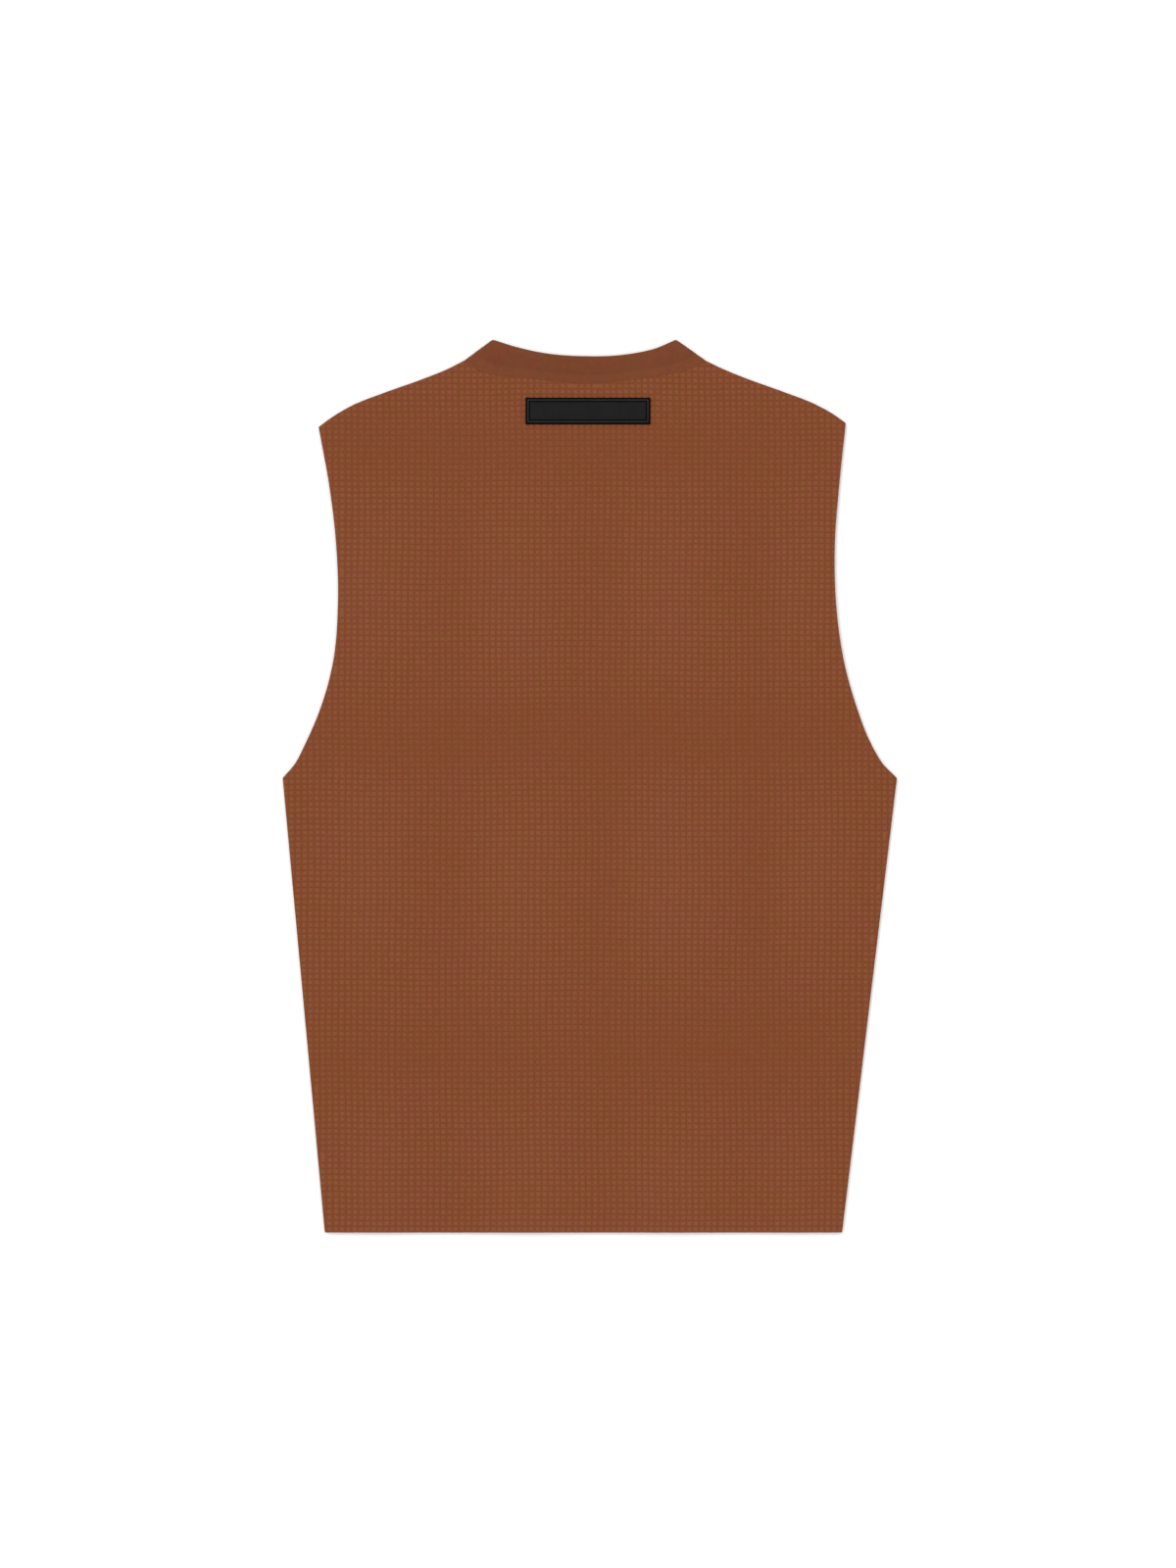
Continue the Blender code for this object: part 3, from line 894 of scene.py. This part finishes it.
def band_half(neck, creases):
    """The flat sections' ends along one half of the neckband, from fold to fold."""
    edges = smooth_curve(neck_edge(neck), BAND_STATIONS)
    seams = beside_seam(edges, smooth_curve(neck_seam(neck), BAND_STATIONS))
    clear = np.ones(len(edges), bool)
    for crease in creases:
        for points, start in ((edges, crease[0]), (seams, crease[1])):
            clear &= off_crease(points, start, crease) > FOLD_REACH + FOLD_CLEAR
    between = list(np.stack([edges, seams], axis=1)[clear])
    return [fold_station(creases[0], neck, False), *between, fold_station(creases[1], neck, True)]


def neckband(name):
    """The neckband: one knitted ring, folded flat at both ends of the neck."""
    creases = []
    for row in (BACK_NECK[0], BACK_NECK[-1]):
        edge = np.array([row.edge_across, LENGTH - row.edge_drop])
        seam = np.array([row.seam_across, LENGTH - row.seam_drop])
        creases.append(np.array([edge, beside_seam(edge, seam)]))
    back, front = band_half(BACK_NECK, creases), band_half(FRONT_NECK, creases)
    turns = [90 - 180 * k / FOLD_TURNS for k in range(1, FOLD_TURNS)]
    sections = [flat_section(station, BACK) for station in back]
    sections += [fold_section(creases[1], back[-1], front[-1], turn) for turn in turns]
    sections += [flat_section(station, FRONT) for station in reversed(front)]
    sections += [fold_section(creases[0], back[0], front[0], -turn) for turn in turns]
    share, _ = band_columns()
    shell = Shell()
    rings = [shell.add(flat, level, share) for flat, level in sections]
    for i, ring in enumerate(rings):
        shell.ring(ring, rings[(i + 1) % len(rings)])
    band = shell.build(name, "across_share")
    knit_map(band, sections, share)
    # painted light round the dimples and painted shade in them
    point_numbers(band, "spot_painted_light", spotted(np.concatenate(shell.flat), BAND_PAINTED_LIGHT_AND_SHADE))
    return band


def knit_map(band, sections, share):
    """Give the neckband a map of its knit: metres along the strip, and metres across it."""
    middle = np.array([np.column_stack(section).mean(axis=0) for section in sections])
    steps = np.linalg.norm(np.roll(middle, -1, axis=0) - middle, axis=1)
    along = np.concatenate([[0], np.cumsum(steps)])
    layer = band.data.uv_layers.new(name="knit")
    for face in band.data.polygons:
        corners = [(i, *divmod(band.data.loops[i].vertex_index, len(share))) for i in face.loop_indices]
        rows = [row for _, row, _ in corners]
        wraps = max(rows) - min(rows) > 1
        for i, row, place in corners:
            at = along[-1] if wraps and row == 0 else along[row]
            layer.data[i].uv = (at * MM, share[place] * BAND_WIDTH * MM)


# ---- the label patch


def rim_lines(size):
    """Lines across the label: its rim's own at both ends, and even ones between."""
    near = [point.inset for point in LABEL_RIM]
    start = near[-1]
    cells = round((size - 2 * start) / LABEL_STEP)
    between = [start + (size - 2 * start) * k / cells for k in range(1, cells)]
    return np.array(near + between + [size - inset for inset in reversed(near)])


def label_thickness(inset):
    insets, heights = np.array(LABEL_RIM).T
    return np.interp(inset, insets, heights * LABEL_THICK)


def label_patch(name):
    """The blank label patch: a moulded rim, a stitched groove and a bare field."""
    across, up = rim_lines(LABEL_WIDTH), rim_lines(LABEL_HEIGHT)
    x, y = (grid.ravel() for grid in np.meshgrid(across, up))
    inset = np.minimum.reduce([x, y, LABEL_WIDTH - x, LABEL_HEIGHT - y])
    flat = np.stack([x + LABEL_ACROSS - LABEL_WIDTH / 2, y + LABEL_UP - LABEL_HEIGHT / 2], axis=1)
    shell = Shell()
    base = height(flat, BACK, WALL) + SEAM_GAP
    top = shell.add(flat, base + label_thickness(inset), inset)
    under = shell.add(flat, base, 0.0)
    columns, rows = len(across), len(up)
    a = (np.arange(rows - 1)[:, None] * columns + np.arange(columns - 1)).ravel()
    quads = np.stack([a, a + 1, a + columns + 1, a + columns], axis=1)
    shell.faces += top[quads].tolist() + under[quads][:, ::-1].tolist()
    last = columns * (rows - 1)
    rim = np.concatenate([
        np.arange(columns - 1),
        np.arange(rows - 1) * columns + columns - 1,
        last + np.arange(columns - 1, 0, -1),
        np.arange(rows - 1, 0, -1) * columns,
    ])
    shell.ring(top[rim], under[rim])
    return shell.build(name, "inset")


# A stitch's section along its length, as shares of its length and its thickness
STITCH = table(
    "along girth",
    (-0.50, 0.35),
    (-0.42, 0.85),
    (-0.18, 1.00),
    (0.18, 1.00),
    (0.42, 0.85),
    (0.50, 0.35),
)


def add_stitch(shell, middle, way):
    """One stitch that lies in the label's groove and dips at both ends."""
    side = np.array([-way[1], way[0]])
    base = height(middle[None], BACK, WALL)[0] + SEAM_GAP + label_thickness(STITCH_INSET)
    turn = np.linspace(0, 2 * math.pi, STITCH_SIDES, endpoint=False)
    rings = []
    for point in STITCH:
        radius = STITCH_THICK / 2 * point.girth
        flat = middle + way * point.along * STITCH_LENGTH + side * (radius * np.cos(turn))[:, None]
        dip = STITCH_DIP * point.along**2
        level = base + STITCH_LIFT * STITCH_THICK - dip + radius * np.sin(turn)
        rings.append(shell.add(flat, level, point.along))
    for first, second in zip(rings, rings[1:]):
        shell.ring(first, second)
    shell.faces += [rings[0].tolist(), rings[-1].tolist()[::-1]]


def label_stitches(name):
    """Tone on tone stitches all the way round the label's groove."""
    middle_of_label = np.array([LABEL_ACROSS, LABEL_UP])
    half = np.array([LABEL_WIDTH / 2 - STITCH_INSET, LABEL_HEIGHT / 2 - STITCH_INSET])
    corners = [middle_of_label + half * sign for sign in ((-1, -1), (1, -1), (1, 1), (-1, 1))]
    shell = Shell()
    for start, end in zip(corners, corners[1:] + corners[:1]):
        run = np.linalg.norm(end - start)
        count = round(run / STITCH_PITCH)
        for n in range(count):
            middle = start + (end - start) * (n + 0.5) / count
            middle = middle + RANDOM.normal(0, STITCH_SHIFT, 2)
            add_stitch(shell, middle, (end - start) / run)
    return shell.build(name, "along_stitch")


# ---- materials


def fill(tree, node, inputs):
    """Link or set a node's inputs, by name or by number."""
    for key, value in inputs.items():
        if isinstance(value, bpy.types.NodeSocket):
            tree.links.new(value, node.inputs[key])
        else:
            node.inputs[key].default_value = value


def add(tree, kind, inputs, output=0, **settings):
    """Add a node, set it, fill its inputs, and return one of its outputs."""
    made = tree.nodes.new("ShaderNode" + kind)
    for key, value in settings.items():
        setattr(made, key, value)
    fill(tree, made, inputs)
    return made.outputs[output]


def maths(tree, operation, *values):
    return add(tree, "Math", dict(enumerate(values)), operation=operation)


def times(tree, colour, factors):
    """A colour whose red, green and blue are each multiplied by a factor."""
    grown = add(tree, "CombineXYZ", dict(enumerate(factors)))
    return add(tree, "VectorMath", {0: colour, 1: grown}, operation="MULTIPLY")


def chain(tree, operation, values):
    result = values[0]
    for value in values[1:]:
        result = maths(tree, operation, result, value)
    return result


def product(tree, *factors):
    return chain(tree, "MULTIPLY", factors)


def plus(tree, *terms):
    return chain(tree, "ADD", terms)


def number(tree, name):
    """A number stored at the mesh's points."""
    return add(tree, "Attribute", {}, "Fac", attribute_name=name)


def noise(tree, where, size, detail=2.0, roughness=0.5):
    """Soft noise whose blobs are about size millimetres across."""
    grain = {"Scale": 1 / (size * MM), "Detail": detail, "Roughness": roughness}
    return add(tree, "TexNoise", {"Vector": where, **grain}, "Fac")


def spread(tree, value, low, high, out_low=0.0, out_high=1.0):
    """Map low..high to out_low..out_high, and keep what lies outside at the ends."""
    ends = (value, low, high, out_low, out_high)
    return add(tree, "MapRange", dict(enumerate(ends)))


def mottle(tree, where, size, low, high, detail=2.0):
    """Soft blobs about size millimetres across, from low to high."""
    return spread(tree, noise(tree, where, size, detail), *NOISE_RANGE, low, high)


def mix(tree, share, first, second):
    """A colour between two."""
    inputs = {0: share, 6: (*first, 1.0), 7: (*second, 1.0)}
    return add(tree, "Mix", inputs, 2, data_type="RGBA")


def brighten(tree, colour, factor):
    """A colour times a number."""
    return times(tree, colour, [factor] * 3)


def tint(tree, colour, strengths, amount):
    """A colour whose red, green and blue grow by their own strengths times an amount."""
    factors = [maths(tree, "MULTIPLY_ADD", amount, strength, 1.0) for strength in strengths]
    return times(tree, colour, factors)


def knit(tree, across, up, wale, course):
    """Height of plain knit: columns of V-shaped stitches, from 0 to 1. Sizes in millimetres."""
    column = maths(tree, "FRACT", maths(tree, "DIVIDE", across, wale * MM))
    beside = maths(tree, "ABSOLUTE", maths(tree, "SUBTRACT", column, 0.5))
    slant = product(tree, beside, KNIT_LEAN)
    row = plus(tree, maths(tree, "DIVIDE", up, course * MM), slant)
    leg = maths(tree, "SINE", product(tree, row, 2 * math.pi))
    leg = maths(tree, "MULTIPLY_ADD", leg, KNIT_ALONG, 1 - KNIT_ALONG)
    off = maths(tree, "SUBTRACT", product(tree, beside, 4.0), 1.0)
    body = maths(tree, "SUBTRACT", 1.0, product(tree, off, off, KNIT_ACROSS))
    return product(tree, leg, body)


def bump(tree, rise, distance, strength, normal=None):
    """A bumped normal; distance is the full height in millimetres."""
    inputs = {"Strength": strength, "Distance": distance * MM, "Height": rise}
    if normal is not None:
        inputs["Normal"] = normal
    return add(tree, "Bump", inputs)


def ramp(tree, value, stops):
    """A colour for each value, from stops of (position, colour)."""
    made = tree.nodes.new("ShaderNodeValToRGB")
    tree.links.new(value, made.inputs[0])
    elements = made.color_ramp.elements
    while len(elements) < len(stops):
        elements.new(0.5)
    for element, (position, colour) in zip(elements, stops):
        element.position = position
        element.color = (*colour, 1.0)
    return made.outputs[0]


def new_material(name, roughness, specular, sheen=0.0):
    """A material with its constant values set on its own shader."""
    material = bpy.data.materials.new(name)
    material.use_nodes = True
    shader = material.node_tree.nodes["Principled BSDF"]
    values = {
        "Roughness": roughness,
        "Specular IOR Level": specular,
        "Sheen Weight": sheen,
        "Sheen Roughness": 0.5,
        "Sheen Tint": (0.80, 0.45, 0.30, 1.0),
    }
    fill(material.node_tree, shader, values)
    return material, material.node_tree, shader


def object_place(tree):
    return add(tree, "TexCoord", {}, "Object")


def axes_of(tree, vector):
    made = tree.nodes.new("ShaderNodeSeparateXYZ")
    tree.links.new(vector, made.inputs[0])
    return made.outputs


def cloth_relief(tree, where, stitches, depth):
    """Fine stitches with loose fibres over them."""
    fibres = noise(tree, where, size=0.35, detail=3.0, roughness=0.6)
    loose = bump(tree, fibres, distance=0.10, strength=0.6)
    return bump(tree, stitches, depth, strength=0.7, normal=loose)


def waffle_material():
    """Rust brown cotton: mottled yarn, painted shade in the grooves and painted light on the puffs,
    painted shade in the troughs and painted light on the swells, fine stitches on the puffs with painted
    shade between them.
    """
    material, tree, shader = new_material("waffle_knit", roughness=0.92, specular=0.10, sheen=0.06)
    where = object_place(tree)
    x, y, _ = axes_of(tree, where)
    stitches = knit(tree, x, y, CELL_ACROSS / STITCHES_PER_CELL, CELL_UP / STITCHES_PER_CELL)
    hue = spread(tree, noise(tree, where, HUE_PATCH, detail=1.0), 0.38, 0.62)
    press = number(tree, "pressed")
    # painted shade in the grooves and painted light on the puffs, less of both where the cloth is pressed
    painted_relief_contrast = maths(tree, "MULTIPLY_ADD", press, PRESSED_PAINTED_RELIEF, 1.0)
    puff = spread(tree, number(tree, "puff"), 0.0, 1.0, GROOVE_PAINTED_SHADE, PUFF_PAINTED_LIGHT)
    # painted light where the cloth stands off and painted shade where it is pressed
    swell_painted_light = product(tree, number(tree, "stands_off"), SWELL_PAINTED_LIGHT)
    painted_light_and_yarn_tone = plus(
        tree,
        product(tree, puff, painted_relief_contrast),
        maths(tree, "MULTIPLY_ADD", press, PRESSED_PAINTED_SHADE, swell_painted_light),
        mottle(tree, where, YARN_FLECK, -YARN_TONE, YARN_TONE),
        # painted shade between the stitches and painted light on them
        spread(tree, stitches, 0.0, 1.0, *STITCH_PAINTED_SHADE_AND_LIGHT),
    )
    warm = mottle(tree, where, WARM_PATCH, -1.0, 1.0, detail=1.0)
    colour = tint(tree, mix(tree, hue, REDDISH, OLIVE), LIGHT_ADDS, painted_light_and_yarn_tone)
    colour = tint(tree, colour, WARMTH, warm)
    relief = cloth_relief(tree, where, stitches, depth=0.16)
    fill(tree, shader, {"Base Color": colour, "Normal": relief})
    return material


def band_material():
    """Plain fine knit, darker than the body, with painted shade towards its fold, painted highlights on
    the strip past the fold and along its seam, painted spots of light and shade by its folds, and painted
    shade between its stitches.
    """
    material, tree, shader = new_material("band_knit", roughness=0.90, specular=0.10, sheen=0.05)
    where = object_place(tree)
    along, across, _ = axes_of(tree, add(tree, "UVMap", {}, uv_map="knit"))
    stitches = knit(tree, along, across, BAND_WALE, BAND_COURSE)
    hue = spread(tree, noise(tree, where, size=8.0, detail=1.0), 0.35, 0.65)
    share = number(tree, "across_share")
    across_painted_light = plus(
        # painted light at the free edge, painted shade towards the fold, painted highlights on the strip
        # and at the sewn edge
        tree,
        spread(tree, share, 0.0, 0.65, *BAND_FOLD_SHADE),
        spread(tree, share, 0.645, 0.720, 0.0, BAND_STRIP_HIGHLIGHT),
        spread(tree, share, 0.960, 0.985, 0.0, BAND_SEAM_HIGHLIGHT),
    )
    factor = product(
        tree,
        across_painted_light,
        plus(tree, number(tree, "spot_painted_light"), 1.0),
        mottle(tree, where, size=1.3, low=0.93, high=1.07),
        mottle(tree, where, size=5.0, low=0.96, high=1.04, detail=1.0),
        # painted shade between the stitches and painted light on them
        spread(tree, stitches, 0.0, 1.0, 0.91, 1.05),
    )
    colour = brighten(tree, mix(tree, hue, BAND_REDDISH, BAND_OLIVE), factor)
    relief = cloth_relief(tree, where, stitches, depth=0.12)
    fill(tree, shader, {"Base Color": colour, "Normal": relief})
    return material


def rubber_material():
    """Soft black patch: painted shade on its rim's bevel and in its groove, a painted highlight on the
    rim's top between, a fine grain.
    """
    material, tree, shader = new_material("patch_rubber", roughness=0.60, specular=0.02)
    where = object_place(tree)
    deepest = 5.0  # insets as far in as this are coloured one by one
    # painted shade on the rim's bevel, a painted highlight on the rim's top, the field's own black,
    # painted shade in the groove
    tones = (
        (0.00, LABEL_PAINTED_SHADE),
        (1.36, LABEL_PAINTED_SHADE),
        (1.50, LABEL_RIM_HIGHLIGHT),
        (2.10, LABEL_RIM_HIGHLIGHT),
        (2.50, LABEL_FIELD),
        (2.85, LABEL_GROOVE_SHADE),
        (3.60, LABEL_GROOVE_SHADE),
        (4.00, LABEL_FIELD),
    )
    stops = [(inset / deepest, colour) for inset, colour in tones]
    colour = ramp(tree, maths(tree, "DIVIDE", number(tree, "inset"), deepest), stops)
    colour = brighten(tree, colour, mottle(tree, where, size=9.0, low=0.92, high=1.10))
    grain = noise(tree, where, size=0.5, detail=3.0, roughness=0.6)
    dull = spread(tree, grain, *NOISE_RANGE, 0.48, 0.64)
    relief = bump(tree, grain, distance=0.03, strength=0.4)
    fill(tree, shader, {"Base Color": colour, "Roughness": dull, "Normal": relief})
    return material


def thread_material():
    """Black sewing thread, with the twist of its plies and painted shade between them."""
    material, tree, shader = new_material("label_thread", roughness=0.7, specular=0.05)
    x, y, _ = axes_of(tree, object_place(tree))
    slant = product(tree, plus(tree, x, y), 2 * math.pi / (PLY * MM))
    plies = maths(tree, "MULTIPLY_ADD", maths(tree, "SINE", slant), 0.5, 0.5)
    # painted shade between the plies
    colour = ramp(tree, plies, ((0.0, LABEL_PAINTED_SHADE), (1.0, THREAD)))
    relief = bump(tree, plies, distance=0.05, strength=0.6)
    fill(tree, shader, {"Base Color": colour, "Normal": relief})
    return material


def floor_material():
    """Plain white paper."""
    material, tree, shader = new_material("floor_white", roughness=0.95, specular=0.0)
    tone = mottle(tree, object_place(tree), size=400.0, low=0.995, high=1.005)
    fill(tree, shader, {"Base Color": brighten(tree, FLOOR_WHITE, tone)})
    return material


# ---- the object


def dress(piece, material, node=None):
    """A piece's body, its material, and the node that it stands for."""
    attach(piece, "root")
    piece.data.materials.append(material)
    if node:
        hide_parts(node)


waffle = waffle_material()
front = waffle_panel("front_panel_cloth", FRONT_NECK, FRONT)
dress(front, waffle, "front_panel")
back = waffle_panel("back_panel_cloth", BACK_NECK, BACK)
dress(back, waffle, "back_panel")
band = neckband("neckband_knit")
dress(band, band_material(), "neckband")
label = label_patch("label_patch_rubber")
dress(label, rubber_material(), "label_patch")
stitches = label_stitches("label_stitches")
dress(stitches, thread_material())


# ---- the studio


def make_floor():
    bpy.ops.mesh.primitive_plane_add(size=FLOOR_SIZE, location=(0, 0, 0))
    floor = bpy.context.object
    floor.name = "floor"
    floor.data.materials.append(floor_material())


def make_light():
    world = bpy.data.worlds.new("studio")
    bpy.context.scene.world = world
    world.use_nodes = True
    background = world.node_tree.nodes["Background"]
    fill(world.node_tree, background, {"Color": (1, 1, 1, 1), "Strength": WORLD_STRENGTH})
    softbox = bpy.data.lights.new("softbox", "AREA")
    softbox.shape = "RECTANGLE"
    softbox.size, softbox.size_y = SOFTBOX_SIZE
    softbox.energy = SOFTBOX_WATTS
    lamp = bpy.data.objects.new("softbox", softbox)
    lamp.location = SOFTBOX_PLACE
    lamp.rotation_euler = (-Vector(SOFTBOX_PLACE)).to_track_quat("-Z", "Y").to_euler()
    bpy.context.scene.collection.objects.link(lamp)


def make_camera():
    """Straight above, where a millimetre is as many pixels as in the photograph."""
    data = bpy.data.cameras.new("camera")
    data.lens = LENS
    data.sensor_width = SENSOR
    distance = PHOTO_HEIGHT * PIXEL * LENS / SENSOR + MIDDLE + WALL
    camera = bpy.data.objects.new("camera", data)
    camera.location = Vector((VIEW_ACROSS, VIEW_UP, distance)) * MM
    bpy.context.scene.collection.objects.link(camera)
    bpy.context.scene.camera = camera


make_floor()
make_light()
make_camera()
bpy.context.scene.view_settings.view_transform = "Standard"
